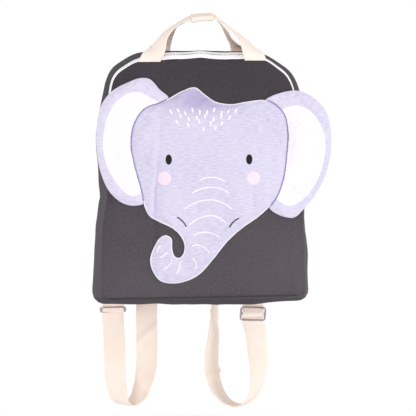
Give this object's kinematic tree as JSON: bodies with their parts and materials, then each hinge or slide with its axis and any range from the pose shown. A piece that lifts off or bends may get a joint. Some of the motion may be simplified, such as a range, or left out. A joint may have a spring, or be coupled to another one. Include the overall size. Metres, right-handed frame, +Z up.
{
  "type": "kids animal backpack with shoulder straps and carrying handles",
  "caption": "Child's cotton backpack, elephant face and ears on the front, zip over the top, two webbing carrying handles and two webbing shoulder straps, hanging.",
  "frame": {"origin": "middle of the underside of the handle keeper, where a hook carries the bag", "axes": "+Z up, -Y the front with the elephant's face, +X the right of someone who looks at the front"},
  "size_m": [0.2718, 0.1569, 0.4618],
  "materials": {
    "canvas": "charcoal cotton canvas, matt",
    "heather_cotton": "heather lavender printed cotton, matt",
    "webbing": "cream cotton webbing, matt",
    "zip_white": "white woven zip tape and nylon coil",
    "slider_metal": "plated metal, softly polished"
  },
  "bodies": {
    "root": {"front_panel": "canvas", "back_panel": "canvas", "base_gusset": "canvas", "top_gusset": "canvas", "zip_tape_front": "zip_white", "zip_tape_back": "zip_white", "zip_coil": "zip_white", "zip_slider": "slider_metal", "face_panel": "heather_cotton", "left_ear": "heather_cotton", "right_ear": "heather_cotton", "handle_front": "webbing", "handle_back": "webbing", "handle_keeper": "webbing", "left_shoulder_strap": "webbing", "right_shoulder_strap": "webbing", "left_slider": "slider_metal", "right_slider": "slider_metal"}
  },
  "joints": []
}
